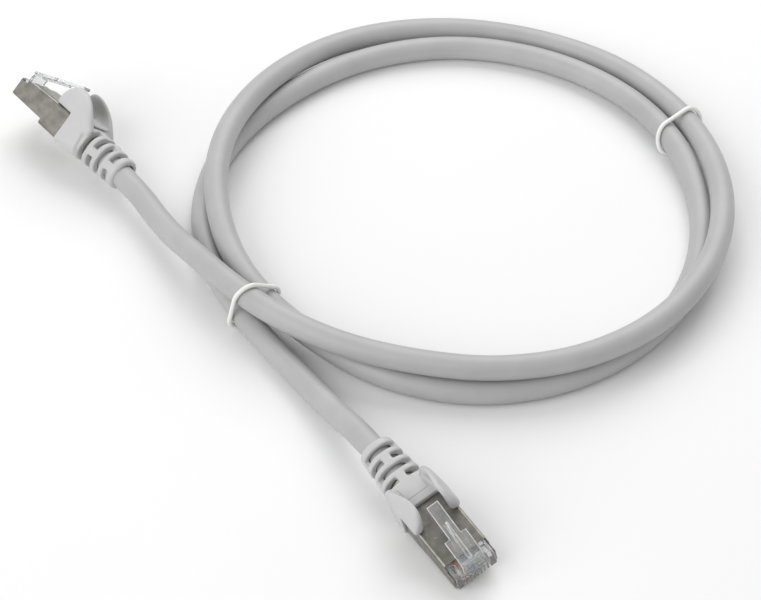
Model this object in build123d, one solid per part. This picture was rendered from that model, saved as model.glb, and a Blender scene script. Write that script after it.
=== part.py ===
from build123d import *

import os
from math import atan2, cos, degrees, hypot, pi, radians, sin, tan

# Shielded ethernet patch cable, one metre long, lying in two loose turns that two
# thin ties hold together, with a modular 8-contact plug and a snagless boot on
# each end. Millimetres, +Z up, the floor is z = 0, the origin is under the middle.

# ---------------------------------------------------------------- driving sizes
JACKET_RADIUS = 3.15
JACKET_WALL = 0.65
FOIL_THICKNESS = 0.1
PAIR_RADIUS = 0.9
PAIR_OFFSET = 1.35
DRAIN_RADIUS = 0.2
DRAIN_OFFSET = 2.08
DRAIN_CLOCK = -45

# Room between fitted pieces, room in a snug fit, and how far a cut runs past its piece.
PLAY = 0.05
SNUG = 0.03
BEYOND = 1.0

# How much of the shorter run beside a corner of the cable's route its arc takes up.
CORNER_SHARE = 0.45

# Plug, in its own frame: the nose is at y = 0 and points along +Y, the contacts
# face -Z, the latch is on the +Z side, and the rear of the can stands on z = 0.
PLUG_WIDTH = 11.7
PLUG_HEIGHT = 7.8
CAN_REAR = -21.5
SHEET = 0.2
CABLE_AXIS_Z = 4.0
NOSE_BOTTOM = 1.2
NOSE_TOP = 6.5
NOSE_CHAMFER = 0.6
STEP_BACK = -12.8
STEP_LIP = 0.5
TOP_PLATE_FRONT = -4.1
TOP_PLATE_LOW = 7.0
SIDE_CHEEK_TOP = 5.7
SIDE_NOTCH = -2.9
PLATE_BEND = -18.0
SIDE_PLATE_FRONT = -0.6
HOUSING_WIDTH = 11.2
HOUSING_REAR = -21.1
FERRULE_RADIUS = 3.45
FERRULE_REAR = -29.5
JACKET_END = -23.5

CONTACT_COUNT = 8
CONTACT_PITCH = 1.02
CONTACT_THICKNESS = 0.35
CONTACT_TOP = 3.4
CONTACT_SLOT_REAR = -6.0
WIRE_RADIUS = 0.45
WIRE_Z = 3.9
WIRE_FRONT = -0.9
WIRE_FAN_FRONT = -13.2
WIRE_FAN_REAR = -21.6
WIRE_BEND = 4.0
BAR_FRONT = -7.2
BAR_REAR = -12.6
BAR_TOP = 3.7
BAR_SIDE_PLAY = 0.15
CAVITY_HALF = 4.75
CAVITY_FLOOR = 1.9
CAVITY_ROOF = 6.4
CAVITY_FRONT = -6.1

LATCH_WIDE = 6.1
LATCH_NARROW = 3.25
LATCH_THICKNESS = 0.9
LATCH_ANGLE = 20.6
LATCH_LENGTH = 15.9
LATCH_SHOULDER = 6.9
LATCH_PIVOT = (-0.9, 6.45)
LATCH_FRONT = (-0.35, 9.3)
LATCH_ROOT = 1.0
LATCH_ROOT_SINK = 0.3
LATCH_KNUCKLE_RADIUS = 0.5
LATCH_SEAT_REAR = -2.2
LATCH_SEAT_PLAY = 0.15

BOOT_FRONT = -20.3
BOOT_RELIEF = -28.0
BOOT_REAR = -41.2
BOOT_WIDTH = 13.5
BOOT_TAPER = 1.5
BOOT_CORNERS = (1.2, 3.0)
BOOT_BOTTOM = -0.6
BOOT_TOP = 9.3
RELIEF_WIDTH = 10.8
RELIEF_HEIGHT = 9.4
RING_DIAMETER = 8.9
RELIEF_CORNERS = (3.6, 4.2)
CABLE_HOLE_PLAY = 0.15
SLOT_LENGTH = 1.6
RIB_LENGTH = 1.5
SLOT_COUNT = 4
BRIDGE = 2.4
EAR_FOOT = 7.95
EAR_BASE = 5.0
PANEL_HALF = 3.2
PANEL_LINE = 0.25
PANEL_DEPTH = 0.2
PANEL_ENDS = (-26.6, -22.4)

TIE_WIDTH = 1.2
TIE_THICKNESS = 0.9
TIE_CHAMFER = 0.2
TIE_SLEEVE = 8.0
TIE_REACH = 15.0
ROUTE_STEPS = 3000

# The two ties: a point inside, the heading of the strands there, how far the tie is
# turned and leans from square across them, its slack and the number of strands.
TIES = {
    "left": ((-27.9, -13.4, 6.0), -50.0, 7.5, -8.0, 0.33, 3),
    "right": ((84.4, 54.4, 5.5), 113.0, -12.6, -26.0, 0.5, 2),
}

# Where each plug lies: nose point, heading of the nose, pitch and roll.
PLUG_PLACES = {
    "a": ((-94.5, 62.5, 8.6), 132.0, 6.3, 48.0),
    "b": ((26.2, -97.8, 0.65), -54.8, -6.4, 15.5),
}

# The cable's route between the two plugs: across the first tie, twice round the
# coil and out again. The upper strand of each crossing is a low hump.
ROUTE = [
    (-52.5, 13.8, 6.1),
    (-43.7, 0.5, 9.7),
    (-33.7, -12.5, 11.1),
    (-22.2, -22.8, 10.9),
    (-6.2, -32.0, 10.3),
    (11.8, -37.5, 10.0),
    (31.8, -40.2, 9.9),
    (53.3, -36.3, 9.9),
    (72.6, -24.5, 9.9),
    (85.8, -7.0, 9.9),
    (92.6, 13.5, 8.9),
    (93.1, 35.8, 7.5),
    (86.7, 59.7, 5.0),
    (70.5, 82.6, 3.4),
    (46.8, 95.5, 3.3),
    (20.3, 100.5, 3.3),
    (-5.7, 94.3, 4.3),
    (-25.4, 74.8, 8.5),
    (-36.9, 52.8, 10.6),
    (-40.7, 32.5, 10.4),
    (-38.2, 11.5, 8.7),
    (-30.2, -8.0, 8.1),
    (-16.7, -21.5, 4.7),
    (0.3, -34.5, 3.3),
    (20.8, -41.8, 3.3),
    (41.8, -40.5, 3.3),
    (61.3, -31.5, 3.3),
    (77.1, -15.5, 3.3),
    (86.3, 5.0, 3.3),
    (88.3, 29.0, 3.4),
    (82.3, 52.2, 5.0),
    (68.6, 73.3, 3.7),
    (47.3, 87.5, 3.3),
    (21.3, 92.5, 3.3),
    (-4.7, 85.5, 3.3),
    (-25.7, 69.0, 3.3),
    (-39.7, 48.0, 3.3),
    (-44.5, 24.5, 3.3),
    (-40.2, 1.5, 4.1),
    (-30.7, -17.5, 4.6),
    (-18.2, -34.0, 3.3),
    (-8.2, -49.0, 4.7),
]
TAIL_RUN = 21.5

os.makedirs("parts", exist_ok=True)


# --------------------------------------------------------------------- helpers
def plug_location(end):
    """Return the location of a plug's own frame."""
    (x, y, z), heading, pitch, roll = PLUG_PLACES[end]
    return Pos(x, y, z) * Rot(Z=heading - 90) * Rot(X=pitch) * Rot(Y=roll)


def plug_point(end, x, y, z):
    """Return the world position of a point given in a plug's own frame."""
    return (plug_location(end) * Pos(x, y, z)).position


def box_between(x0, x1, y0, y1, z0, z1):
    """Return a box from its lowest and highest corners."""
    centre = Pos((x0 + x1) / 2, (y0 + y1) / 2, (z0 + z1) / 2)
    return centre * Box(x1 - x0, y1 - y0, z1 - z0)


def side_extrusion(outline, half_width):
    """Extrude a closed (y, z) outline to both sides of x = 0."""
    face = make_face(Polyline(*[(0, y, z) for y, z in outline], close=True))
    return extrude(face, half_width, dir=(1, 0, 0), both=True)


def rod_along_y(x, z, radius, y0, y1):
    """Return a round rod parallel to Y."""
    return Pos(x, (y0 + y1) / 2, z) * Rot(X=90) * Cylinder(radius, abs(y1 - y0))


def corner_radii(points):
    """Return the radius of every corner's arc, from the shorter run beside it."""
    radii = []
    for before, here, after in zip(points, points[1:], points[2:]):
        run_in = here - before
        run_out = after - here
        half_turn = radians(run_in.get_angle(run_out)) / 2
        radii.append(CORNER_SHARE * min(run_in.length, run_out.length) / tan(half_turn))
    return radii


def rounded_path(points):
    """Return a path of straight runs joined by the largest tangent arcs."""
    return FilletPolyline(*points, radius=corner_radii(points))


def pipe(points, outer, inner=0.0, bend=None):
    """Sweep a disc or a ring along a rounded path; bend fixes the radius of its arcs."""
    path = FilletPolyline(*points, radius=bend) if bend else rounded_path(points)
    start = Plane(path @ 0, z_dir=path % 0)
    section = start * Circle(outer)
    if inner > 0:
        section = section - start * Circle(inner)
    return sweep(section, path=path)


def save(node, shape):
    """Write one node's solids to its own file."""
    solids = list(shape.solids())
    whole = solids[0] if len(solids) == 1 else Compound(children=solids)
    whole.label = node
    export_step(whole, f"parts/{node}.step")


# ----------------------------------------------------------------------- cable
def route_points():
    """Return the route with the two straight tails inside the boots."""
    tail = JACKET_END - TAIL_RUN
    start = [plug_point("a", 0, JACKET_END, CABLE_AXIS_Z), plug_point("a", 0, tail, CABLE_AXIS_Z)]
    end = [plug_point("b", 0, tail, CABLE_AXIS_Z), plug_point("b", 0, JACKET_END, CABLE_AXIS_Z)]
    return start + [Vector(*point) for point in ROUTE] + end


def section_axes(points):
    """Return the sideways and upward directions of the cable at every point."""
    axes = []
    for index in range(len(points)):
        before = points[max(index - 1, 0)]
        after = points[min(index + 1, len(points) - 1)]
        forward = (after - before).normalized()
        side = forward.cross(Vector(0, 0, 1)).normalized()
        axes.append((side, side.cross(forward)))
    return axes


def lay_angles(points):
    """Return the angle of the cable's core at every point, from plug a to plug b."""
    axes = section_axes(points)
    ends = []
    for end, (side, up) in (("a", axes[0]), ("b", axes[-1])):
        outward = plug_point(end, 1, 0, 0) - plug_point(end, 0, 0, 0)
        ends.append(degrees(atan2(outward.dot(up), outward.dot(side))))
    step = (ends[1] - ends[0]) / (len(points) - 1)
    return [ends[0] + step * index for index in range(len(points))]


def core_strand(points, radius, offset, clock):
    """Return a strand of the core that runs beside the cable's centreline."""
    strand = []
    for point, (side, up), lay in zip(points, section_axes(points), lay_angles(points)):
        angle = radians(lay + clock)
        strand.append(point + side * (offset * cos(angle)) + up * (offset * sin(angle)))
    return pipe(strand, radius)


def build_cable():
    """Write the jacket, the foil, the drain wire and the four pairs."""
    points = route_points()
    path = rounded_path(points)
    bore = JACKET_RADIUS - JACKET_WALL
    jacket = pipe(points, JACKET_RADIUS, bore)
    section = pi * (JACKET_RADIUS**2 - bore**2)
    print("route radii", [round(radius, 1) for radius in corner_radii(points)])
    ratio = jacket.volume / (section * path.length)
    print("route length", round(path.length, 1), "volume ratio", round(ratio, 4))
    save("cable_jacket", jacket)
    foil_outer = bore - SNUG
    save("foil_screen", pipe(points, foil_outer, foil_outer - FOIL_THICKNESS))
    save("drain_wire", core_strand(points, DRAIN_RADIUS, DRAIN_OFFSET, DRAIN_CLOCK))
    for index, colour in enumerate(("orange", "green", "brown", "blue")):
        save(f"pair_{colour}", core_strand(points, PAIR_RADIUS, PAIR_OFFSET, -90 * index))


# ------------------------------------------------------------------ plug pieces
def contact_x(pin):
    """Return the x of a contact; pin 1 is on the +X side."""
    return ((CONTACT_COUNT + 1) / 2 - pin) * CONTACT_PITCH


def latch_seat():
    """Return the room in the nose that the latch's knuckle turns in."""
    half = LATCH_WIDE / 2 + LATCH_SEAT_PLAY
    floor = LATCH_PIVOT[1] - LATCH_KNUCKLE_RADIUS - LATCH_SEAT_PLAY
    return box_between(-half, half, LATCH_SEAT_REAR, BEYOND, floor, PLUG_HEIGHT + BEYOND)


def make_housing():
    """Clear body: comb of contact slots, wire pocket, cavity and latch seat."""
    roof = PLUG_HEIGHT - SHEET - PLAY
    floor = SHEET + PLAY
    step = STEP_BACK - SHEET - PLAY
    outline = [
        (0, NOSE_BOTTOM),
        (0, NOSE_TOP - NOSE_CHAMFER),
        (-NOSE_CHAMFER, NOSE_TOP),
        (SIDE_NOTCH, NOSE_TOP),
        (PLATE_BEND, roof),
        (HOUSING_REAR, roof),
        (HOUSING_REAR, floor),
        (step, floor),
        (step, NOSE_BOTTOM),
    ]
    body = side_extrusion(outline, HOUSING_WIDTH / 2)
    rear = HOUSING_REAR - BEYOND
    body -= box_between(-CAVITY_HALF, CAVITY_HALF, rear, CAVITY_FRONT, CAVITY_FLOOR, CAVITY_ROOF)
    half = CONTACT_PITCH * CONTACT_COUNT / 2
    rear = CAVITY_FRONT - BEYOND
    reach = WIRE_RADIUS + PLAY
    body -= box_between(-half, half, rear, WIRE_FRONT + PLAY, WIRE_Z - reach, WIRE_Z + reach)
    half = CONTACT_THICKNESS / 2 + PLAY
    for pin in range(1, CONTACT_COUNT + 1):
        x = contact_x(pin)
        body -= box_between(x - half, x + half, CONTACT_SLOT_REAR, BEYOND, 0, WIRE_Z)
    return body - latch_seat()


def make_latch():
    """Clear lever on a knuckle at the nose, with a raised root, shoulders and a thumb tab."""
    y, z = LATCH_PIVOT
    front_y, front_z = LATCH_FRONT
    wide = LATCH_WIDE / 2
    narrow = LATCH_NARROW / 2
    lever = box_between(-wide, wide, -LATCH_SHOULDER, 0, -LATCH_THICKNESS, 0)
    lever += box_between(-narrow, narrow, -LATCH_LENGTH, -LATCH_SHOULDER, -LATCH_THICKNESS, 0)
    latch = Pos(0, front_y, front_z) * Rot(X=-LATCH_ANGLE) * lever
    root = LATCH_ROOT / 2
    latch += box_between(-wide, wide, y - root, y + root, z, front_z - LATCH_ROOT_SINK)
    return latch + Pos(0, y, z) * Rot(Y=90) * Cylinder(LATCH_KNUCKLE_RADIUS, LATCH_WIDE)


def make_shield_can():
    """Folded metal can with an open nose, an open contact side and a crimp ferrule."""
    outer = [
        (SIDE_PLATE_FRONT, NOSE_BOTTOM),
        (SIDE_PLATE_FRONT, SIDE_CHEEK_TOP),
        (SIDE_NOTCH, SIDE_CHEEK_TOP),
        (SIDE_NOTCH, TOP_PLATE_LOW),
        (PLATE_BEND, PLUG_HEIGHT),
        (CAN_REAR, PLUG_HEIGHT),
        (CAN_REAR, 0),
        (STEP_BACK, 0),
        (STEP_BACK, NOSE_BOTTOM),
    ]
    inner = [
        (BEYOND, NOSE_BOTTOM - STEP_LIP),
        (BEYOND, PLUG_HEIGHT + BEYOND),
        (TOP_PLATE_FRONT, PLUG_HEIGHT + BEYOND),
        (TOP_PLATE_FRONT, TOP_PLATE_LOW - SHEET),
        (PLATE_BEND, PLUG_HEIGHT - SHEET),
        (CAN_REAR + SHEET, PLUG_HEIGHT - SHEET),
        (CAN_REAR + SHEET, SHEET),
        (STEP_BACK - SHEET, SHEET),
        (STEP_BACK - SHEET, NOSE_BOTTOM - STEP_LIP),
    ]
    can = side_extrusion(outer, PLUG_WIDTH / 2) - side_extrusion(inner, PLUG_WIDTH / 2 - SHEET)
    can += rod_along_y(0, CABLE_AXIS_Z, FERRULE_RADIUS, CAN_REAR + SHEET, FERRULE_REAR)
    bore = FERRULE_RADIUS - SHEET
    return can - rod_along_y(0, CABLE_AXIS_Z, bore, CAN_REAR + BEYOND, FERRULE_REAR - BEYOND)


def make_contacts():
    """Eight gold-plated blades, each under its own wire."""
    outline = [
        (-1.3, 1.75),
        (-1.3, 2.9),
        (-1.7, CONTACT_TOP),
        (-5.6, CONTACT_TOP),
        (-5.6, 2.2),
        (-5.2, 1.75),
    ]
    blade = side_extrusion(outline, CONTACT_THICKNESS / 2)
    return [Pos(contact_x(pin), 0, 0) * blade for pin in range(1, CONTACT_COUNT + 1)]


def make_load_bar():
    """Grooved bar that holds the wires in order."""
    half = CAVITY_HALF - BAR_SIDE_PLAY
    bar = box_between(-half, half, BAR_REAR, BAR_FRONT, CAVITY_FLOOR + SNUG, BAR_TOP)
    groove = WIRE_RADIUS + SNUG
    for pin in range(1, CONTACT_COUNT + 1):
        bar -= rod_along_y(contact_x(pin), WIRE_Z, groove, BAR_REAR - BEYOND, BAR_FRONT + BEYOND)
    return bar


def make_wire(pin, rear_x, rear_z):
    """Return one conductor from its contact back to the end of the jacket."""
    x = contact_x(pin)
    points = [
        Vector(x, WIRE_FRONT, WIRE_Z),
        Vector(x, WIRE_FAN_FRONT, WIRE_Z),
        Vector(rear_x, WIRE_FAN_REAR, rear_z),
        Vector(rear_x, JACKET_END, rear_z),
    ]
    return pipe(points, WIRE_RADIUS, bend=WIRE_BEND)


def make_wire_pairs(green_side):
    """Return the two wires of each pair; green lies above or below blue behind the bar."""
    near = WIRE_RADIUS
    mid = CABLE_AXIS_Z
    green_z = mid + green_side * PAIR_OFFSET
    blue_z = mid - green_side * PAIR_OFFSET
    return {
        "orange": [make_wire(1, PAIR_OFFSET + near, mid), make_wire(2, PAIR_OFFSET - near, mid)],
        "green": [make_wire(3, near, green_z), make_wire(6, -near, green_z)],
        "blue": [make_wire(4, near, blue_z), make_wire(5, -near, blue_z)],
        "brown": [make_wire(7, near - PAIR_OFFSET, mid), make_wire(8, -near - PAIR_OFFSET, mid)],
    }


# ------------------------------------------------------------------------ boot
def boot_section(y, width, height, corner, middle):
    """Return a rounded rectangle across the boot's axis."""
    plane = Plane((0, y, middle), x_dir=(1, 0, 0), z_dir=(0, -1, 0))
    return plane * RectangleRounded(width, height, corner)


def make_boot_ear():
    """Petal on the +X side that guards the latch; it leans inward and thins to its rim."""
    rear = (-28.3, 8.0)
    front = (-14.2, EAR_FOOT)
    crest = [rear, (-24.6, 12.0), (-21.0, 14.5), (-18.0, 15.2), (-15.2, 14.0), (-13.9, 10.8), front]
    foot = [front, (BOOT_FRONT, EAR_FOOT), (BOOT_FRONT, EAR_BASE), (rear[0], EAR_BASE), rear]
    rim = Spline(*[(0, y, z) for y, z in crest])
    base = Polyline(*[(0, y, z) for y, z in foot])
    petal = extrude(make_face([rim, base]), BOOT_WIDTH / 2, dir=(1, 0, 0))
    outside = [(3.9, EAR_BASE), (BOOT_WIDTH / 2, EAR_BASE), (BOOT_WIDTH / 2, 8.4), (6.1, 11.6), (4.9, 15.4)]
    inside = [(3.9, 15.4), (4.3, 12.4), (3.9, 9.2)]
    section = make_face(Polyline(*[(x, 0, z) for x, z in outside + inside], close=True))
    return petal & extrude(section, -BOOT_REAR, dir=(0, -1, 0))


def make_boot():
    """Soft moulded boot: shell, two ears, outlined panel and slotted strain relief."""
    middle = (BOOT_TOP + BOOT_BOTTOM) / 2
    height = BOOT_TOP - BOOT_BOTTOM
    shell = loft(
        [
            boot_section(BOOT_FRONT, BOOT_WIDTH, height, BOOT_CORNERS[0], middle),
            boot_section(BOOT_RELIEF, BOOT_WIDTH - BOOT_TAPER, height, BOOT_CORNERS[1], middle),
        ]
    )
    relief = loft(
        [
            boot_section(BOOT_RELIEF, RELIEF_WIDTH, RELIEF_HEIGHT, RELIEF_CORNERS[0], CABLE_AXIS_Z),
            boot_section(BOOT_REAR, RING_DIAMETER, RING_DIAMETER, RELIEF_CORNERS[1], CABLE_AXIS_Z),
        ]
    )
    for row in range(SLOT_COUNT):
        start = BOOT_RELIEF - PLAY - row * (SLOT_LENGTH + RIB_LENGTH)
        slot = Box(BOOT_WIDTH, SLOT_LENGTH, BOOT_WIDTH)
        bridge = (BRIDGE, SLOT_LENGTH, BOOT_WIDTH) if row % 2 == 0 else (BOOT_WIDTH, SLOT_LENGTH, BRIDGE)
        relief -= Pos(0, start - SLOT_LENGTH / 2, CABLE_AXIS_Z) * (slot - Box(*bridge))
    ear = make_boot_ear()
    boot = shell + relief + ear + mirror(ear, about=Plane.YZ)
    half = PLUG_WIDTH / 2 + SNUG
    boot -= box_between(-half, half, CAN_REAR - PLAY, BOOT_FRONT + BEYOND, -SNUG, PLUG_HEIGHT + SNUG)
    ferrule = FERRULE_RADIUS + SNUG
    boot -= rod_along_y(0, CABLE_AXIS_Z, ferrule, CAN_REAR + BEYOND, FERRULE_REAR - PLAY)
    hole = JACKET_RADIUS + CABLE_HOLE_PLAY
    boot -= rod_along_y(0, CABLE_AXIS_Z, hole, CAN_REAR, BOOT_REAR - BEYOND)
    rear, front = PANEL_ENDS
    width = 2 * PANEL_HALF
    length = front - rear
    line = 2 * PANEL_LINE
    groove = Box(width, length, 2 * PANEL_DEPTH) - Box(width - line, length - line, BEYOND)
    return boot - Pos(0, (front + rear) / 2, BOOT_TOP) * groove


def build_plugs():
    """Write every piece of both plugs where the plugs lie."""
    for end, green_side in (("a", 1), ("b", -1)):
        place = plug_location(end)
        pieces = {
            "housing": [make_housing()],
            "latch": [make_latch()],
            "shield_can": [make_shield_can()],
            "contacts": make_contacts(),
            "load_bar": [make_load_bar()],
            "boot": [make_boot()],
        }
        for colour, wires in make_wire_pairs(green_side).items():
            pieces[f"wires_{colour}"] = wires
        for name, shapes in pieces.items():
            solids = [place * solid for shape in shapes for solid in shape.solids()]
            save(f"{name}_{end}", Compound(children=solids))


# ------------------------------------------------------------------------ ties
def strand_crossings(path, plane, count):
    """Return where the cable passes through a plane near its origin, as (x, y)."""
    found = []
    last = None
    for index in range(ROUTE_STEPS + 1):
        local = plane.to_local_coords(path @ (index / ROUTE_STEPS))
        if last is not None and local.Z * last.Z < 0 and hypot(local.X, local.Y) < TIE_REACH:
            found.append((local.X, local.Y))
        last = local
    assert len(found) == count
    return found


def tie_outline(strands, reach):
    """Return the face of a taut loop that stays a set distance from the strands."""
    return make_hull([Pos(x, y, 0) * Edge.make_circle(reach) for x, y in strands])


def make_tie(path, centre, heading, turn, lean, slack, count):
    """Return a closed thin tie round the strands at a point."""
    across = (cos(radians(heading - 90)), sin(radians(heading - 90)), 0)
    along = (cos(radians(heading)), sin(radians(heading)), 0)
    plane = Plane(centre, x_dir=across, z_dir=along)
    strands = strand_crossings(path, plane, count)
    inner = tie_outline(strands, JACKET_RADIUS + slack)
    outer = tie_outline(strands, JACKET_RADIUS + slack + TIE_THICKNESS)
    sleeve = extrude(outer - inner, TIE_SLEEVE, both=True)
    slab = Rot(Y=turn) * Rot(X=lean) * Box(4 * TIE_REACH, 4 * TIE_REACH, TIE_WIDTH)
    band = sleeve & slab
    return plane * chamfer(band.edges(), TIE_CHAMFER)


def build_ties():
    """Write the two ties, round the crossing and round the far side of the coil."""
    path = rounded_path(route_points())
    for side, values in TIES.items():
        save(f"tie_{side}", make_tie(path, *values))


build_cable()
build_plugs()
build_ties()
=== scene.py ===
import math

import bpy
import numpy as np
from mathutils import Matrix, Vector


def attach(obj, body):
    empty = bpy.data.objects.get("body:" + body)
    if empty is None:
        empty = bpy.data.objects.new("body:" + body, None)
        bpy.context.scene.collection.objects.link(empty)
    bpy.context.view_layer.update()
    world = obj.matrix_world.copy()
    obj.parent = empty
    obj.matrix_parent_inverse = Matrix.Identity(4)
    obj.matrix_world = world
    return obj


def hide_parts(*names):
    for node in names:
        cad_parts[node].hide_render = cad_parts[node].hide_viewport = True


# Looks of the ethernet patch cable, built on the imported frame. Lengths below are in
# millimetres unless a name or a comment says otherwise, in the row frame or in a plug's own frame:
# nose at y = 0 pointing along +Y, contacts towards -Z, latch on the +Z side.
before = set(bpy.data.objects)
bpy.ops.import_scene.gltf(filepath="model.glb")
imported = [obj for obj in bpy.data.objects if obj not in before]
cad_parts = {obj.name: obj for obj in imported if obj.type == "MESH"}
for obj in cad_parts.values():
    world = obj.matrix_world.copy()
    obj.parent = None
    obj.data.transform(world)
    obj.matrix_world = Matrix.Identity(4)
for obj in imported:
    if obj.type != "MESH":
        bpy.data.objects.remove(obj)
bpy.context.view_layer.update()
scene = bpy.context.scene
scene.view_settings.view_transform = "Standard"
MM = 0.001

# ------------------------------------------------------------------ driving sizes
PLUG_PLACES = {
    "a": ((-94.5, 62.5, 8.6), 132.0, 6.3, 48.0),
    "b": ((26.2, -97.8, 0.65), -54.8, -6.4, 15.5),
}
JACKET_RADIUS = 3.15
JACKET_END = -23.5
TAIL_RUN = 21.5
CABLE_AXIS_Z = 4.0

CAN_HALF = 5.85
CAN_TOP = 7.8
CAN_REAR = -21.5
SHEET = 0.2
STEP_BACK = -12.8
NOSE_BOTTOM = 1.2
TOP_PLATE_FRONT = -4.1
TOP_PLATE_LOW = 7.0
PLATE_BEND = -18.0
SIDE_CHEEK_TOP = 5.7
SIDE_NOTCH = -2.9
SIDE_PLATE_FRONT = -0.6
FERRULE_RADIUS = 3.45
FERRULE_REAR = -29.5
CAN_BEND = 0.55
CAN_EDGE = 0.06
FERRULE_SIDES = 48

CONTACT_COUNT = 8
CONTACT_PITCH = 1.02
CONTACT_THICKNESS = 0.35
WIRE_RADIUS = 0.45
WIRE_Z = 3.9
PAIR_OFFSET = 1.35

LATCH_FRONT = (-0.35, 9.3)
LATCH_ANGLE = 20.6
LATCH_LENGTH = 15.9
LATCH_SHOULDER = 6.9
LATCH_THICKNESS = 0.9
LATCH_WIDE = 6.1
LATCH_NARROW = 3.25
LATCH_PIVOT = (-0.9, 6.45)
# How strongly bends turn into the painted edge highlight of the clear nose and latch.
NOSE_HIGHLIGHT_GAIN = 6.0
LATCH_HIGHLIGHT_GAIN = 24.0

BOOT_FRONT = -20.3
BOOT_RELIEF = -28.0
BOOT_REAR = -41.2
BOOT_TOP = 9.3
BOOT_BOTTOM = -0.6
BOOT_HALF = 6.75
BOOT_NARROWS = 0.75
SHELL_REAR = -27.7
SHELL_SLANT = 0.18
EAR_BASE = 8.0
EAR_LEAN = 0.055
EAR_INSIDE = 3.9
EAR_INSIDE_LEAN = 0.12
DISH_DEPTH = 1.3
DISH_CENTRE = (-20.5, 11.0)
DISH_SIZE = (4.2, 2.4)
RELIEF_FRONT = -25.5
SLOT_LENGTH = 1.6
RIB_LENGTH = 1.5
SLOT_COUNT = 4
BRIDGE = 2.4
PANEL_HALF = 3.1
PANEL_ENDS = (-26.6, -22.4)

# The cable's route between the two plugs, in metres.
ROUTE = [
    (-0.0525, 0.0138, 0.0061),
    (-0.0437, 0.0005, 0.0097),
    (-0.0337, -0.0125, 0.0111),
    (-0.0222, -0.0228, 0.0109),
    (-0.0062, -0.0320, 0.0103),
    (0.0118, -0.0375, 0.0100),
    (0.0318, -0.0402, 0.0099),
    (0.0533, -0.0363, 0.0099),
    (0.0726, -0.0245, 0.0099),
    (0.0858, -0.0070, 0.0099),
    (0.0926, 0.0135, 0.0089),
    (0.0931, 0.0358, 0.0075),
    (0.0867, 0.0597, 0.0050),
    (0.0705, 0.0826, 0.0034),
    (0.0468, 0.0955, 0.0033),
    (0.0203, 0.1005, 0.0033),
    (-0.0057, 0.0943, 0.0043),
    (-0.0254, 0.0748, 0.0085),
    (-0.0369, 0.0528, 0.0106),
    (-0.0407, 0.0325, 0.0104),
    (-0.0382, 0.0115, 0.0087),
    (-0.0302, -0.0080, 0.0081),
    (-0.0167, -0.0215, 0.0047),
    (0.0003, -0.0345, 0.0033),
    (0.0208, -0.0418, 0.0033),
    (0.0418, -0.0405, 0.0033),
    (0.0613, -0.0315, 0.0033),
    (0.0771, -0.0155, 0.0033),
    (0.0863, 0.0050, 0.0033),
    (0.0883, 0.0290, 0.0034),
    (0.0823, 0.0522, 0.0050),
    (0.0686, 0.0733, 0.0037),
    (0.0473, 0.0875, 0.0033),
    (0.0213, 0.0925, 0.0033),
    (-0.0047, 0.0855, 0.0033),
    (-0.0257, 0.0690, 0.0033),
    (-0.0397, 0.0480, 0.0033),
    (-0.0445, 0.0245, 0.0033),
    (-0.0402, 0.0015, 0.0041),
    (-0.0307, -0.0175, 0.0046),
    (-0.0182, -0.0340, 0.0033),
    (-0.0082, -0.0490, 0.0047),
]

# The two ties: a point inside, the heading of the strands there, how far the tie is
# turned and leans from square across them.
TIES = {
    "left": ((-27.9, -13.4, 6.0), -50.0, 7.5, -8.0),
    "right": ((84.4, 54.4, 5.5), 113.0, -12.6, -26.0),
}
TIE_RADIUS = 0.6
TIE_SLACK = 0.12
TIE_REACH = 15.0
TIE_STEPS = 120

# Finest steps of the meshed surfaces.
BOOT_CELL = 0.2
NOSE_CELL = 0.13
LATCH_CELL = 0.11

# Camera: place in metres, tilt in degrees, and a focal length given in pixels.
CAMERA_PLACE_M = (0.0033, -0.4955, 0.4896)
CAMERA_TILT = 45.0
SENSOR_WIDTH = 36.0
FOCAL_PIXELS = 2700.0
IMAGE_PIXELS = 761.0

# Floor and light: lamps as name, place in metres, size in metres and power in watts.
FLOOR_REACH_M = 3.0
WORLD_STRENGTH = 0.52
LAMPS = (
    ("key", (0.15, 0.65, 0.75), 0.9, 6.4),
    ("fill", (-0.7, -0.55, 0.65), 1.0, 7.0),
)


# ------------------------------------------------------------------ camera
def make_camera():
    """Look 45 degrees down on the middle of the coil, through a long lens."""
    data = bpy.data.cameras.new("camera")
    data.lens = SENSOR_WIDTH * FOCAL_PIXELS / IMAGE_PIXELS
    data.clip_start = 0.01
    data.clip_end = 10.0
    camera = bpy.data.objects.new("camera", data)
    scene.collection.objects.link(camera)
    camera.location = CAMERA_PLACE_M
    camera.rotation_euler = (math.radians(CAMERA_TILT), 0.0, 0.0)
    scene.camera = camera


def plug_matrix(end):
    """Where a plug's own frame lies: millimetres there to metres in the row frame."""
    place, heading, pitch, roll = PLUG_PLACES[end]
    turn = Matrix.Rotation(math.radians(heading - 90.0), 4, "Z")
    turn = turn @ Matrix.Rotation(math.radians(pitch), 4, "X")
    turn = turn @ Matrix.Rotation(math.radians(roll), 4, "Y")
    return Matrix.Translation(Vector(place) * MM) @ turn @ Matrix.Scale(MM, 4)


PLUG = {end: plug_matrix(end) for end in "ab"}


# ------------------------------------------------------------------ materials
def new_material(name):
    """Return a new material's tree, its shader and a function that adds a node."""
    material = bpy.data.materials.new(name)
    material.use_nodes = True
    tree = material.node_tree
    shader = tree.nodes["Principled BSDF"]

    def add(kind, **values):
        node = tree.nodes.new(kind)
        for key, value in values.items():
            if key in node.inputs:
                node.inputs[key].default_value = value
            else:
                setattr(node, key, value)
        return node

    return material, tree, shader, add


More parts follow.
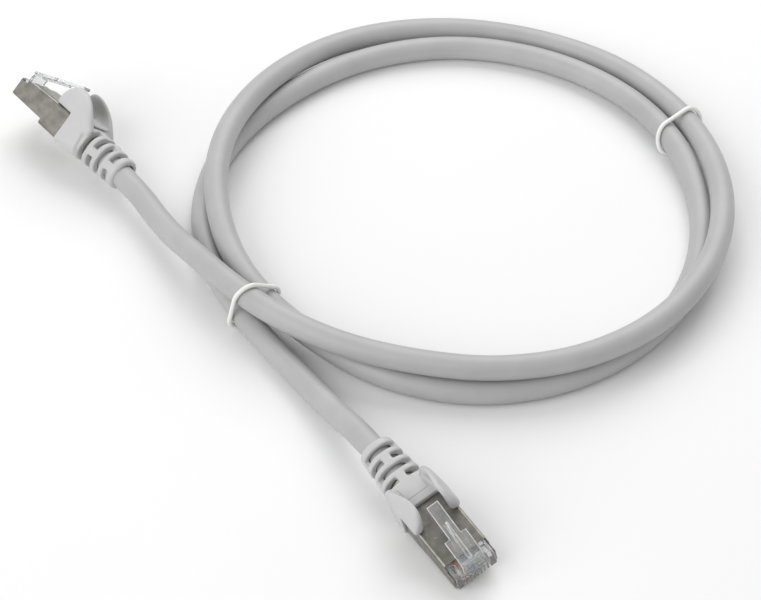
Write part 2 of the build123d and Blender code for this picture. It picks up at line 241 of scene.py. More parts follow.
def object_noise(tree, add, scale, detail=3.0, stretch=(1.0, 1.0, 1.0)):
    """Return noise over the object's own coordinates, scale in features per metre."""
    place = add("ShaderNodeTexCoord")
    mapping = add("ShaderNodeMapping")
    mapping.inputs["Scale"].default_value = stretch
    noise = add("ShaderNodeTexNoise", Scale=scale, Detail=detail, Roughness=0.55)
    tree.links.new(place.outputs["Object"], mapping.inputs["Vector"])
    tree.links.new(mapping.outputs["Vector"], noise.inputs["Vector"])
    return noise


def ramp_between(tree, add, source, low, high, start=0.3, stop=0.7):
    """Return a colour ramp from low to high, driven by a source socket."""
    ramp = add("ShaderNodeValToRGB")
    ramp.color_ramp.elements[0].position = start
    ramp.color_ramp.elements[1].position = stop
    ramp.color_ramp.elements[0].color = (*low, 1.0)
    ramp.color_ramp.elements[1].color = (*high, 1.0)
    tree.links.new(source, ramp.inputs["Fac"])
    return ramp


def bump_from(tree, add, shader, source, strength, distance):
    """Feed a height source to the shader's normal."""
    bump = add("ShaderNodeBump", Strength=strength, Distance=distance)
    tree.links.new(source, bump.inputs["Height"])
    tree.links.new(bump.outputs["Normal"], shader.inputs["Normal"])


def vary_roughness(tree, add, shader, source, low, high):
    """Let a source socket move the shader's roughness between two values."""
    gloss = add("ShaderNodeMapRange")
    gloss.inputs["To Min"].default_value = low
    gloss.inputs["To Max"].default_value = high
    tree.links.new(source, gloss.inputs["Value"])
    tree.links.new(gloss.outputs["Result"], shader.inputs["Roughness"])


def soft_plastic(name, low, high, rough, bump):
    """Moulded or extruded PVC: slight tone drift, a satin skin and a fine grain."""
    material, tree, shader, add = new_material(name)
    drift = object_noise(tree, add, 90.0)
    tone = ramp_between(tree, add, drift.outputs["Fac"], low, high)
    tree.links.new(tone.outputs["Color"], shader.inputs["Base Color"])
    grain = object_noise(tree, add, 2600.0, 2.0)
    vary_roughness(tree, add, shader, grain.outputs["Fac"], rough - 0.05, rough + 0.07)
    bump_from(tree, add, shader, grain.outputs["Fac"], bump, 0.00005)
    shader.inputs["Specular IOR Level"].default_value = 0.4
    return material


def clear_plastic(name, tint, clarity, rough, flow):
    """Moulded polycarbonate: see-through with faint flow marks; sharp edges made opaque and whitish, a
    painted highlight.
    """
    material, tree, shader, add = new_material(name)
    marks = object_noise(tree, add, flow, 2.0, (1.0, 1.0, 0.4))
    tone = ramp_between(tree, add, marks.outputs["Fac"], tint, (0.97, 0.975, 0.98))
    tree.links.new(tone.outputs["Color"], shader.inputs["Base Color"])
    vary_roughness(tree, add, shader, marks.outputs["Fac"], rough, rough + 0.08)
    bump_from(tree, add, shader, marks.outputs["Fac"], 0.12, 0.00008)
    # Where the surface bends sharply it turns opaque and whitish: a painted edge highlight.
    painted_rim_highlight = add("ShaderNodeAttribute", attribute_name="painted_rim_highlight")
    clear = add("ShaderNodeMapRange")
    clear.inputs["To Min"].default_value = clarity
    clear.inputs["To Max"].default_value = 0.25
    tree.links.new(painted_rim_highlight.outputs["Fac"], clear.inputs["Value"])
    tree.links.new(clear.outputs["Result"], shader.inputs["Transmission Weight"])
    shader.inputs["IOR"].default_value = 1.42
    return material


def plated_metal(name, low, high, rough, grain_scale, stretch, bump):
    """Plated sheet: cloudy tone, drawn grain and a satin reflection."""
    material, tree, shader, add = new_material(name)
    clouds = object_noise(tree, add, 420.0, 5.0)
    tone = ramp_between(tree, add, clouds.outputs["Fac"], low, high, 0.35, 0.65)
    tree.links.new(tone.outputs["Color"], shader.inputs["Base Color"])
    grain = object_noise(tree, add, grain_scale, 3.0, stretch)
    vary_roughness(tree, add, shader, grain.outputs["Fac"], rough - 0.06, rough + 0.08)
    bump_from(tree, add, shader, grain.outputs["Fac"], bump, 0.00003)
    shader.inputs["Metallic"].default_value = 1.0
    return material


def striped_insulation(name, colour):
    """White insulation with a thin coloured stripe wound round it."""
    material, tree, shader, add = new_material(name)
    place = add("ShaderNodeTexCoord")
    bands = add("ShaderNodeTexWave", Scale=260.0, Distortion=0.4)
    bands.bands_direction = "DIAGONAL"
    tree.links.new(place.outputs["Object"], bands.inputs["Vector"])
    tone = ramp_between(tree, add, bands.outputs["Fac"], colour, (0.78, 0.78, 0.75), 0.42, 0.5)
    tree.links.new(tone.outputs["Color"], shader.inputs["Base Color"])
    vary_roughness(tree, add, shader, bands.outputs["Fac"], 0.32, 0.42)
    return material


GREY_JACKET = soft_plastic("grey_jacket", (0.405, 0.405, 0.405), (0.445, 0.445, 0.445), 0.42, 0.25)
GREY_BOOT = soft_plastic("grey_boot", (0.50, 0.50, 0.50), (0.54, 0.54, 0.54), 0.40, 0.15)
TIE_WHITE = soft_plastic("tie_white", (0.80, 0.80, 0.79), (0.88, 0.88, 0.87), 0.36, 0.1)
BAR_PLASTIC = soft_plastic("load_bar_plastic", (0.70, 0.70, 0.70), (0.80, 0.80, 0.80), 0.35, 0.1)
CLEAR = clear_plastic("clear_plastic", (0.88, 0.885, 0.89), 0.9, 0.03, 500.0)
PLUG_METAL = plated_metal(
    "plug_metal", (0.20, 0.195, 0.17), (0.30, 0.29, 0.265), 0.36, 2500.0, (1.0, 1.0, 0.25), 0.25
)
GOLD = plated_metal(
    "contact_gold", (0.80, 0.55, 0.20), (0.95, 0.72, 0.33), 0.24, 3000.0, (1.0, 1.0, 1.0), 0.1
)
WIRE_COLOURS = {
    "orange": (0.85, 0.22, 0.03),
    "green": (0.04, 0.30, 0.07),
    "blue": (0.03, 0.10, 0.42),
    "brown": (0.19, 0.08, 0.035),
}
WIRE_SOLID = {
    name: soft_plastic(f"wire_{name}", colour, [min(1.0, 1.15 * c) for c in colour], 0.36, 0.1)
    for name, colour in WIRE_COLOURS.items()
}
WIRE_STRIPED = {
    name: striped_insulation(f"wire_white_{name}", colour) for name, colour in WIRE_COLOURS.items()
}


# ------------------------------------------------------------------ distance fields
def smooth_min(a, b, blend):
    """Union of two distances with a fillet."""
    share = np.clip(0.5 + 0.5 * (b - a) / blend, 0.0, 1.0)
    return b + (a - b) * share - blend * share * (1.0 - share)


def smooth_max(a, b, blend):
    """Overlap of two distances with a rounded edge."""
    return -smooth_min(-a, -b, blend)


def rounded_rectangle(u, v, half_u, half_v, corner):
    """Distance to a rectangle round the origin; its sizes may vary from point to point."""
    across = np.abs(u) - (half_u - corner)
    along = np.abs(v) - (half_v - corner)
    outside = np.hypot(np.maximum(across, 0.0), np.maximum(along, 0.0))
    return outside + np.minimum(np.maximum(across, along), 0.0) - corner


def box_distance(points, low, high, corner=0.0):
    """Distance to a box between two corners, with its edges rounded."""
    low, high = np.array(low), np.array(high)
    reach = np.abs(points - (low + high) / 2) - ((high - low) / 2 - corner)
    outside = np.linalg.norm(np.maximum(reach, 0.0), axis=1)
    return outside + np.minimum(reach.max(axis=1), 0.0) - corner


def outline_distance(u, v, outline):
    """Distance to a closed polygon in a plane, negative inside."""
    nearest = np.full(u.shape, np.inf)
    inside = np.zeros(u.shape, bool)
    for (u0, v0), (u1, v1) in zip(outline, outline[1:] + outline[:1]):
        du, dv = u1 - u0, v1 - v0
        share = np.clip(((u - u0) * du + (v - v0) * dv) / (du * du + dv * dv), 0.0, 1.0)
        nearest = np.minimum(nearest, (u - u0 - share * du) ** 2 + (v - v0 - share * dv) ** 2)
        if dv != 0.0:
            crossing = (v0 > v) != (v1 > v)
            inside ^= crossing & (u < u0 + (v - v0) * du / dv)
    return np.where(inside, -1.0, 1.0) * np.sqrt(nearest)


def smooth_outline(points, steps=6):
    """Return a rounder version of an open line of points, through all of them."""
    ring = [points[0]] + list(points) + [points[-1]]
    line = []
    for before, start, stop, after in zip(ring, ring[1:], ring[2:], ring[3:]):
        p = [np.array(point) for point in (before, start, stop, after)]
        for step in range(steps):
            t = step / steps
            curve = 2 * p[1] + (p[2] - p[0]) * t
            curve = curve + (2 * p[0] - 5 * p[1] + 4 * p[2] - p[3]) * t**2
            curve = curve + (3 * p[1] - p[0] - 3 * p[2] + p[3]) * t**3
            line.append(tuple(curve / 2))
    return line + [points[-1]]


def surface_of(field, low, high, cell):
    """Return the points and four-sided faces where a distance field is zero."""
    low = np.array(low, float)
    counts = np.ceil((np.array(high) - low) / cell).astype(int) + 1
    index = np.stack(np.meshgrid(*[np.arange(n) for n in counts], indexing="ij"), axis=-1)
    value = field((low + cell * index).reshape(-1, 3)).reshape(counts)
    strides = (counts[1] * counts[2], counts[2], 1)
    owners, places, quads = [], [], []
    for axis in range(3):
        first = [slice(None)] * 3
        second = [slice(None)] * 3
        first[axis] = slice(None, -1)
        second[axis] = slice(1, None)
        start, stop = value[tuple(first)], value[tuple(second)]
        edge = np.argwhere((start < 0) != (stop < 0))
        here, there = start[tuple(edge.T)], stop[tuple(edge.T)]
        place = edge.astype(float)
        place[:, axis] += here / (here - there)
        cell_id = edge @ np.array(strides)
        step_u, step_v = strides[(axis + 1) % 3], strides[(axis + 2) % 3]
        around = np.stack([cell_id, cell_id - step_u, cell_id - step_u - step_v, cell_id - step_v], axis=1)
        owners.append(around.reshape(-1))
        places.append(np.repeat(place, 4, axis=0))
        quads.append(np.where((here < 0)[:, None], around, around[:, ::-1]))
    used, owner = np.unique(np.concatenate(owners), return_inverse=True)
    places = np.concatenate(places)
    hits = np.bincount(owner)
    points = np.stack([np.bincount(owner, places[:, k]) / hits for k in range(3)], axis=1)
    points = low + cell * points
    for _ in range(3):
        points = points - surface_step(field, points, cell)
    return points, np.searchsorted(used, np.concatenate(quads))


def surface_step(field, points, cell):
    """Return how far each point lies from the zero surface, at most half a cell."""
    reach = 0.2 * cell
    slope = np.zeros_like(points)
    for axis in range(3):
        shift = np.zeros(3)
        shift[axis] = reach
        slope[:, axis] = (field(points + shift) - field(points - shift)) / (2 * reach)
    size = np.maximum((slope**2).sum(axis=1), 0.05)
    step = slope * (field(points) / size)[:, None]
    length = np.maximum(np.linalg.norm(step, axis=1), 1e-9)
    return step * np.minimum(1.0, 0.5 * cell / length)[:, None]


# ------------------------------------------------------------------ pieces in general
def link_piece(obj, body, nodes):
    """Let a new piece ride a body and stand for its CAD nodes."""
    if obj.name not in scene.collection.objects:
        scene.collection.objects.link(obj)
    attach(obj, body)
    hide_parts(*nodes)
    return obj


def plug_mesh(name, end, points, faces, material):
    """Return a smooth mesh object from points in a plug's own frame."""
    place = np.array(PLUG[end])
    world = np.asarray(points) @ place[:3, :3].T + place[:3, 3]
    mesh = bpy.data.meshes.new(name)
    mesh.from_pydata(world, [], faces)
    mesh.polygons.foreach_set("use_smooth", np.ones(len(mesh.polygons), bool))
    mesh.materials.append(material)
    return bpy.data.objects.new(name, mesh)


def mark_painted_highlight_rims(points, faces, obj, gain):
    """Store how sharply the surface bends at every point, from 0, flat, to 1, an edge: the mask of the
    painted edge highlight.
    """
    first, second = points[faces[:, 2]] - points[faces[:, 0]], points[faces[:, 3]] - points[faces[:, 1]]
    normal = np.cross(first, second)
    normal /= np.maximum(np.linalg.norm(normal, axis=1), 1e-12)[:, None]
    owner = faces.reshape(-1)
    share = np.bincount(owner, minlength=len(points))
    spread = np.repeat(normal, 4, axis=0)
    mean = np.stack([np.bincount(owner, spread[:, k], len(points)) / share for k in range(3)], axis=1)
    bend = np.clip((1.0 - np.linalg.norm(mean, axis=1)) * gain, 0.0, 1.0)
    obj.data.attributes.new("painted_rim_highlight", "FLOAT", "POINT").data.foreach_set("value", bend)


# ------------------------------------------------------------------ boot
EAR_CREST = smooth_outline(
    [
        (-28.3, 8.2), (-26.3, 10.2), (-23.5, 12.9), (-20.5, 14.6), (-18.0, 15.2),
        (-15.8, 14.6), (-14.3, 12.6), (-13.9, 10.0), (-14.2, 7.9),
    ]
)
EAR_OUTLINE = EAR_CREST + [(BOOT_FRONT, 7.9), (BOOT_FRONT - 0.6, 6.0), (-28.3, 6.0)]


def boot_field(points):
    """Boot: lofted shell, two dished ears and the slotted strain relief."""
    x, y, z = np.abs(points[:, 0]), points[:, 1], points[:, 2]
    back = np.clip((BOOT_FRONT - y) / (BOOT_FRONT - BOOT_RELIEF), 0.0, 1.2)
    middle = (BOOT_TOP + BOOT_BOTTOM) / 2
    half = BOOT_HALF - BOOT_NARROWS * back
    shell = rounded_rectangle(x, z - middle, half, BOOT_TOP - middle, 1.2 + 1.8 * back)
    shell = smooth_max(shell, (SHELL_REAR + SHELL_SLANT * z - y) / 1.02, 0.9)
    shell = smooth_max(shell, y - BOOT_FRONT, 0.25)

    lean = np.maximum(z - EAR_BASE, 0.0)
    outer = x - (half - EAR_LEAN * lean**2)
    dish_y = (y - DISH_CENTRE[0]) / DISH_SIZE[0]
    dish_z = (z - DISH_CENTRE[1]) / DISH_SIZE[1]
    dish = DISH_DEPTH * np.exp(-(dish_y**2) - dish_z**2)
    ear = smooth_max(outer, EAR_INSIDE - EAR_INSIDE_LEAN * lean + dish - x, 1.1)
    ear = smooth_max(ear, outline_distance(y, z, EAR_OUTLINE), 1.3)
    body = smooth_min(shell, ear, 0.7)

    rear = np.clip((BOOT_RELIEF - y) / (BOOT_RELIEF - BOOT_REAR), -0.2, 1.0)
    high = z - CABLE_AXIS_Z
    relief = rounded_rectangle(x, high, 5.4 - 0.95 * rear, 4.7 - 0.25 * rear, 3.6 + 0.6 * rear)
    relief = smooth_max(relief, BOOT_REAR - y, 1.1)
    relief = smooth_max(relief, y - RELIEF_FRONT, 0.4)
    for row in range(SLOT_COUNT):
        centre = BOOT_RELIEF - 0.05 - row * (SLOT_LENGTH + RIB_LENGTH) - SLOT_LENGTH / 2
        slot = np.abs(y - centre) - SLOT_LENGTH / 2
        bridge = x if row % 2 == 0 else np.abs(high)
        relief = smooth_max(relief, -smooth_max(slot, BRIDGE / 2 - bridge, 0.5), 0.55)
    body = smooth_min(body, relief, 0.5)

    can = box_distance(points, (-5.88, -21.6, -0.03), (5.88, -10.0, 7.83))
    body = smooth_max(body, -can, 0.15)
    round_axis = np.hypot(x, high)
    ferrule = np.maximum(round_axis - 3.48, np.abs(y + 25.3) - 4.2)
    body = smooth_max(body, -ferrule, 0.1)
    return smooth_max(body, -(round_axis - 3.3), 0.3)


def panel_plate(start):
    """Return the thin raised plate on the boot's back; start is the number of its first point."""
    rings = []
    for inset, height in ((0.0, -0.3), (0.0, 0.04), (0.05, 0.09), (0.14, 0.10)):
        half_x, half_y = PANEL_HALF - inset, (PANEL_ENDS[1] - PANEL_ENDS[0]) / 2 - inset
        middle = (PANEL_ENDS[0] + PANEL_ENDS[1]) / 2
        corner = 0.3
        ring = []
        for turn in range(4):
            sign_x, sign_y = ((1, 1), (-1, 1), (-1, -1), (1, -1))[turn]
            for step in range(5):
                angle = math.radians(90.0 * turn + 22.5 * step)
                x = sign_x * (half_x - corner) + corner * math.cos(angle)
                y = sign_y * (half_y - corner) + corner * math.sin(angle)
                ring.append((x, middle + y, BOOT_TOP + height))
        rings.append(ring)
    count = len(rings[0])
    points = [point for ring in rings for point in ring]
    faces = []
    for row in range(len(rings) - 1):
        for column in range(count):
            after = (column + 1) % count
            low, high = start + row * count, start + (row + 1) * count
            faces.append((low + column, low + after, high + after, high + column))
    faces.append(tuple(start + (len(rings) - 1) * count + column for column in range(count)))
    return points, faces


def build_boots():
    """Boots with their raised panel, one on each end."""
    points, faces = surface_of(boot_field, (-7.4, -41.9, -1.3), (7.4, -13.1, 16.0), BOOT_CELL)
    plate_points, plate_faces = panel_plate(len(points))
    points = np.concatenate([points, plate_points])
    faces = [tuple(face) for face in faces.tolist()] + plate_faces
    for end in "ab":
        boot = plug_mesh(f"snagless_boot_{end}", end, points, faces, GREY_BOOT)
        link_piece(boot, "cable", [f"boot_{end}"])


# ------------------------------------------------------------------ metal can
def can_section():
    """Half of the can's section from the middle of its floor to the middle of its roof."""
    side = CAN_HALF - CAN_BEND
    line = [(0.0, 0.0), (2.0, 0.0), (4.0, 0.0)]
    angles = [math.radians(22.5 * step) for step in range(5)]
    for angle in angles:
        line.append((side + CAN_BEND * math.sin(angle), CAN_BEND - CAN_BEND * math.cos(angle)))
    line += [(CAN_HALF, NOSE_BOTTOM), (CAN_HALF, 3.5), (CAN_HALF, SIDE_CHEEK_TOP)]
    for angle in angles:
        line.append((side + CAN_BEND * math.cos(angle), CAN_TOP - CAN_BEND + CAN_BEND * math.sin(angle)))
    return line + [(4.0, CAN_TOP), (2.0, CAN_TOP), (0.0, CAN_TOP)]


def can_front(x, z):
    """How far forward the can reaches at a place of its section."""
    if z < NOSE_BOTTOM:
        return STEP_BACK
    if z < SIDE_CHEEK_TOP:
        return SIDE_PLATE_FRONT
    if x > CAN_HALF - 0.1:
        return SIDE_NOTCH
    return TOP_PLATE_FRONT


def build_cans():
    """Folded sheet with round long edges, stepped front edges and a crimp ferrule."""
    half = can_section()
    section = half + [(-x, z) for x, z in reversed(half[:-1])][:-1]
    stations = [CAN_REAR, -20.0, PLATE_BEND, -15.5, STEP_BACK, -10.0, -7.0]
    stations += [TOP_PLATE_FRONT, SIDE_NOTCH, -1.8, SIDE_PLATE_FRONT]
    points = []
    for y in stations:
        slope = max(0.0, (y - PLATE_BEND) / (TOP_PLATE_FRONT - PLATE_BEND))
        top = CAN_TOP - (CAN_TOP - TOP_PLATE_LOW) * slope
        stretch = (top - SIDE_CHEEK_TOP) / (CAN_TOP - SIDE_CHEEK_TOP)
        for x, z in section:
            if z > SIDE_CHEEK_TOP:
                z = SIDE_CHEEK_TOP + (z - SIDE_CHEEK_TOP) * stretch
            points.append((x, y, z))
    count = len(section)
    faces = []
    for row in range(len(stations) - 1):
        for column in range(count):
            after = (column + 1) % count
            x = (abs(section[column][0]) + abs(section[after][0])) / 2
            z = (section[column][1] + section[after][1]) / 2
            if stations[row + 1] <= can_front(x, z) + 1e-6:
                low, high = row * count, (row + 1) * count
                faces.append((low + column, low + after, high + after, high + column))
    used = sorted({corner for face in faces for corner in face})
    renumber = {old: new for new, old in enumerate(used)}
    points = [points[old] for old in used]
    faces = [tuple(renumber[corner] for corner in face) for face in faces]

    start = len(points)
    ring = FERRULE_SIDES
    ends = ((CAN_REAR, 0.0), (FERRULE_REAR + 0.4, 0.0), (FERRULE_REAR, 0.1))
    for y, narrower in ends:
        radius = FERRULE_RADIUS - narrower
        for step in range(ring):
            angle = 2 * math.pi * step / ring
            points.append((radius * math.cos(angle), y, CABLE_AXIS_Z + radius * math.sin(angle)))
    for row in range(2):
        for step in range(ring):
            after = (step + 1) % ring
            low, high = start + row * ring, start + (row + 1) * ring
            faces.append((low + after, low + step, high + step, high + after))
    for end in "ab":
        can = plug_mesh(f"metal_can_{end}", end, points, faces, PLUG_METAL)
        link_piece(can, "cable", [f"shield_can_{end}"])
        wall = can.modifiers.new("wall", "SOLIDIFY")
        wall.thickness = SHEET * MM
        wall.offset = -1.0
        edge = can.modifiers.new("edge", "BEVEL")
        edge.width = CAN_EDGE * MM
        edge.segments = 2
        edge.limit_method = "ANGLE"
        edge.angle_limit = math.radians(50.0)
        normals = can.modifiers.new("normals", "WEIGHTED_NORMAL")
        normals.keep_sharp = True


# ------------------------------------------------------------------ clear pieces
def contact_x(pin):
    """Return the x of a contact; pin 1 is on the +X side."""
    return ((CONTACT_COUNT + 1) / 2 - pin) * CONTACT_PITCH


NOSE_OUTLINE = [
    (0.0, NOSE_BOTTOM), (0.0, 5.9), (-0.6, 6.5), (SIDE_NOTCH, 6.5), (PLATE_BEND, 7.55),
    (-21.1, 7.55), (-21.1, 0.25), (-13.05, 0.25), (-13.05, NOSE_BOTTOM),
]


def nose_field(points):
    """Clear body: wire cavity, comb of contact slots, latch seat and cheek recesses."""
    x, y, z = points[:, 0], points[:, 1], points[:, 2]
    body = smooth_max(outline_distance(y, z, NOSE_OUTLINE), np.abs(x) - 5.6, 0.35)
    cuts = [
        box_distance(points, (-4.75, -30.0, 1.9), (4.75, -6.1, 6.4)),
        box_distance(points, (-4.08, -8.0, WIRE_Z - 0.5), (4.08, -0.85, WIRE_Z + 0.5)),
        box_distance(points, (-3.2, -2.2, 5.8), (3.2, 2.0, 12.0)),
    ]
    for side in (-1.0, 1.0):
        x_range = sorted((side * 3.75, side * 5.05))
        cuts.append(box_distance(points, (x_range[0], -3.4, 5.5), (x_range[1], -1.3, 12.0), 0.1))
    reach = CONTACT_THICKNESS / 2 + 0.05
    for pin in range(1, CONTACT_COUNT + 1):
        centre = contact_x(pin)
        cuts.append(box_distance(points, (centre - reach, -6.0, -5.0), (centre + reach, 5.0, WIRE_Z)))
    for cut in cuts:
        body = smooth_max(body, -cut, 0.12)
    return body


def latch_field(points):
    """Clear latch: root, shouldered lever with ribs, and the narrow thumb tab."""
    x, y, z = points[:, 0], points[:, 1], points[:, 2]
    tilt = math.radians(LATCH_ANGLE)
    forward, high = y - LATCH_FRONT[0], z - LATCH_FRONT[1]
    lever = np.stack(
        [
            x,
            -forward * math.cos(tilt) + high * math.sin(tilt),
            forward * math.sin(tilt) + high * math.cos(tilt),
        ],
        axis=1,
    )
    along, up = lever[:, 1], lever[:, 2]
    wide, narrow = LATCH_WIDE / 2, LATCH_NARROW / 2
    body = box_distance(lever, (-wide, 0.0, -LATCH_THICKNESS), (wide, LATCH_SHOULDER, 0.0), 0.2)
    tab = box_distance(lever, (-narrow, 3.0, -LATCH_THICKNESS), (narrow, LATCH_LENGTH, 0.0), 0.22)
    body = smooth_min(body, tab, 0.35)
    rib_line = 0.35 - 0.011 * (along - 4.0) ** 2
    rib = np.hypot(x - rib_line, up + 0.05) - 0.2
    rib = np.maximum(rib, np.abs(along - 7.0) - 3.6)
    body = smooth_min(body, rib, 0.12)
    spine = box_distance(lever, (-0.45, 1.0, -1.45), (0.45, 10.5, -0.6), 0.2)
    body = smooth_min(body, spine, 0.2)
    pivot_y, pivot_z = LATCH_PIVOT
    root = box_distance(points, (-wide, pivot_y - 0.5, pivot_z), (wide, pivot_y + 0.5, 9.2), 0.15)
    body = smooth_min(body, root, 0.3)
    knuckle = np.hypot(y - pivot_y, z - pivot_z) - 0.5
    knuckle = smooth_max(knuckle, np.abs(x) - wide, 0.15)
    return smooth_min(body, knuckle, 0.1)


def build_clear_pieces():
    """The clear noses ride with the cable and the latches on their own hinges."""
    nose = surface_of(nose_field, (-5.9, -21.5, -0.1), (5.9, 0.3, 7.9), NOSE_CELL)
    latch = surface_of(latch_field, (-3.4, -15.9, 5.6), (3.4, 0.3, 15.6), LATCH_CELL)
    for end in "ab":
        piece = plug_mesh(f"clear_nose_{end}", end, *nose, CLEAR)
        mark_painted_highlight_rims(*nose, piece, NOSE_HIGHLIGHT_GAIN)
        link_piece(piece, "cable", [f"housing_{end}"])
        piece = plug_mesh(f"clear_latch_{end}", end, *latch, CLEAR)
        mark_painted_highlight_rims(*latch, piece, LATCH_HIGHLIGHT_GAIN)
        link_piece(piece, f"latch_{end}", [f"latch_{end}"])


# ------------------------------------------------------------------ conductors
def wire_route(pin, rear_x, rear_z):
    """Points of one conductor from its contact back to the end of the jacket."""
    x = contact_x(pin)
    return [
        (x, -0.95, WIRE_Z), (x, -6.0, WIRE_Z), (x, -12.6, WIRE_Z), (x, -14.2, WIRE_Z),
        (rear_x, -20.6, rear_z), (rear_x, -22.0, rear_z), (rear_x, JACKET_END, rear_z),
    ]


def build_wires():
    """Eight conductors in four pairs; the odd pins are the striped ones."""
    near = WIRE_RADIUS
    for end, green_side in (("a", 1.0), ("b", -1.0)):
        green_z = CABLE_AXIS_Z + green_side * PAIR_OFFSET
        blue_z = CABLE_AXIS_Z - green_side * PAIR_OFFSET
        pairs = {
            "orange": ((1, PAIR_OFFSET + near, CABLE_AXIS_Z), (2, PAIR_OFFSET - near, CABLE_AXIS_Z)),
            "green": ((3, near, green_z), (6, -near, green_z)),
            "blue": ((5, -near, blue_z), (4, near, blue_z)),
            "brown": ((7, near - PAIR_OFFSET, CABLE_AXIS_Z), (8, -near - PAIR_OFFSET, CABLE_AXIS_Z)),
        }
        for colour, wires in pairs.items():
            data = bpy.data.curves.new(f"conductors_{colour}_{end}", "CURVE")
            data.dimensions = "3D"
            data.bevel_depth = WIRE_RADIUS * MM
            data.bevel_resolution = 6
            data.resolution_u = 8
            data.use_fill_caps = True
            data.materials.append(WIRE_STRIPED[colour])
            data.materials.append(WIRE_SOLID[colour])
            for index, wire in enumerate(wires):
                spline = smooth_spline(data, [PLUG[end] @ Vector(point) for point in wire_route(*wire)])
                spline.material_index = index
            piece = bpy.data.objects.new(data.name, data)
            link_piece(piece, "cable", [f"wires_{colour}_{end}"])


# ------------------------------------------------------------------ cord
def smooth_spline(data, points):
    """Add an open NURBS spline with these control points."""
    spline = data.splines.new("NURBS")
    spline.points.add(len(points) - 1)
    for point, place in zip(spline.points, points):
        point.co = (*place, 1.0)
    spline.order_u = 3
    spline.use_endpoint_u = True
    return spline


def cord_points():
    """The route with its two straight tails inside the boots, in metres."""
    tail = JACKET_END - TAIL_RUN
    start = [PLUG["a"] @ Vector((0.0, y, CABLE_AXIS_Z)) for y in (JACKET_END, tail)]
    end = [PLUG["b"] @ Vector((0.0, y, CABLE_AXIS_Z)) for y in (tail, JACKET_END)]
    return start + [Vector(point) for point in ROUTE] + end


def build_cord():
    """The jacketed cable, one smooth line from plug a to plug b."""
    data = bpy.data.curves.new("patch_cord", "CURVE")
    data.dimensions = "3D"
    data.twist_mode = "Z_UP"
    data.bevel_depth = JACKET_RADIUS * MM
    data.bevel_resolution = 14
    data.resolution_u = 14
    data.use_fill_caps = True
    data.materials.append(GREY_JACKET)
    smooth_spline(data, cord_points())
    cord = bpy.data.objects.new("patch_cord", data)
    pairs = [f"pair_{colour}" for colour in WIRE_COLOURS]
    return link_piece(cord, "cable", ["cable_jacket", "foil_screen", "drain_wire"] + pairs)


def cord_line():
    """Return points read along the cord's own smooth line, in metres."""
    data = bpy.data.curves.new("line", "CURVE")
    data.dimensions = "3D"
    data.resolution_u = 14
    smooth_spline(data, cord_points())
    carrier = bpy.data.objects.new("line", data)
    scene.collection.objects.link(carrier)
    line = bpy.data.meshes.new_from_object(carrier)
    points = [vertex.co.copy() for vertex in line.vertices]
    bpy.data.objects.remove(carrier)
    bpy.data.meshes.remove(line)
    return points


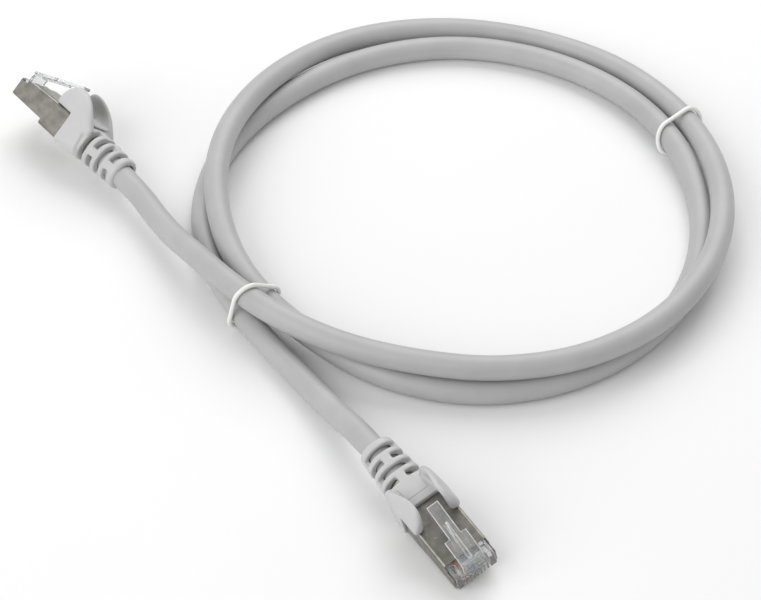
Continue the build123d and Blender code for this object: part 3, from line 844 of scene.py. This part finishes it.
# ------------------------------------------------------------------ ties
def build_ties(line):
    """Thin white ties drawn round the strands that run through them."""
    for side, (centre, heading, turn, lean) in TIES.items():
        centre = Vector(centre) * MM
        along = Vector((math.cos(math.radians(heading)), math.sin(math.radians(heading)), 0.0))
        across = Vector((along.y, -along.x, 0.0))
        strands = []
        for start, stop in zip(line, line[1:]):
            before, after = (start - centre).dot(along), (stop - centre).dot(along)
            if before * after < 0 and (start - centre).length < TIE_REACH * MM:
                place = start.lerp(stop, before / (before - after)) - centre
                strands.append((place.dot(across), place.z))
        reach = (JACKET_RADIUS + TIE_SLACK + TIE_RADIUS) * MM
        data = bpy.data.curves.new(f"tie_loop_{side}", "CURVE")
        data.dimensions = "3D"
        data.bevel_depth = TIE_RADIUS * MM
        data.bevel_resolution = 8
        data.materials.append(TIE_WHITE)
        spline = data.splines.new("POLY")
        spline.points.add(TIE_STEPS - 1)
        for step, point in enumerate(spline.points):
            angle = 2 * math.pi * step / TIE_STEPS
            u, v = math.cos(angle), math.sin(angle)
            strand = max(strands, key=lambda place: place[0] * u + place[1] * v)
            x, z = strand[0] + reach * u, strand[1] + reach * v
            forward = -x * math.tan(math.radians(turn)) - z * math.tan(math.radians(lean))
            point.co = (*(centre + across * x + along * forward + Vector((0.0, 0.0, z))), 1.0)
        spline.use_cyclic_u = True
        tie = bpy.data.objects.new(data.name, data)
        link_piece(tie, "cable", [f"tie_{side}"])


# ------------------------------------------------------------------ stage
def build_stage():
    """Plain pale floor, a soft key light from behind and a soft fill from the front left."""
    mesh = bpy.data.meshes.new("floor")
    reach = FLOOR_REACH_M
    corners = [(-reach, -reach, 0.0), (reach, -reach, 0.0), (reach, reach, 0.0), (-reach, reach, 0.0)]
    mesh.from_pydata(corners, [], [(0, 1, 2, 3)])
    floor = bpy.data.objects.new("floor", mesh)
    scene.collection.objects.link(floor)
    material, tree, shader, add = new_material("floor_white")
    drift = object_noise(tree, add, 6.0)
    tone = ramp_between(tree, add, drift.outputs["Fac"], (0.84, 0.84, 0.84), (0.86, 0.86, 0.86))
    tree.links.new(tone.outputs["Color"], shader.inputs["Base Color"])
    shader.inputs["Roughness"].default_value = 0.9
    shader.inputs["Specular IOR Level"].default_value = 0.1
    mesh.materials.append(material)

    world = bpy.data.worlds.new("studio")
    world.use_nodes = True
    backdrop = world.node_tree.nodes["Background"]
    backdrop.inputs["Color"].default_value = (1.0, 1.0, 1.0, 1.0)
    backdrop.inputs["Strength"].default_value = WORLD_STRENGTH
    scene.world = world
    for name, place, size, power in LAMPS:
        data = bpy.data.lights.new(name, "AREA")
        data.size = size
        data.energy = power
        lamp = bpy.data.objects.new(name, data)
        lamp.location = place
        lamp.rotation_euler = (-Vector(place)).to_track_quat("-Z", "Y").to_euler()
        scene.collection.objects.link(lamp)


# ------------------------------------------------------------------ everything
make_camera()
cord = build_cord()
build_boots()
build_cans()
build_clear_pieces()
build_wires()
build_ties(cord_line())
for end in "ab":
    for node, material in (("contacts", GOLD), ("load_bar", BAR_PLASTIC)):
        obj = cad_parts[f"{node}_{end}"]
        obj.data.materials.clear()
        obj.data.materials.append(material)
build_stage()

plug_pieces = ("snagless_boot", "metal_can", "clear_nose", "clear_latch", "contacts", "load_bar")
plug_b = [f"{name}_b" for name in plug_pieces]
plug_b += [f"conductors_{colour}_b" for colour in WIRE_COLOURS]
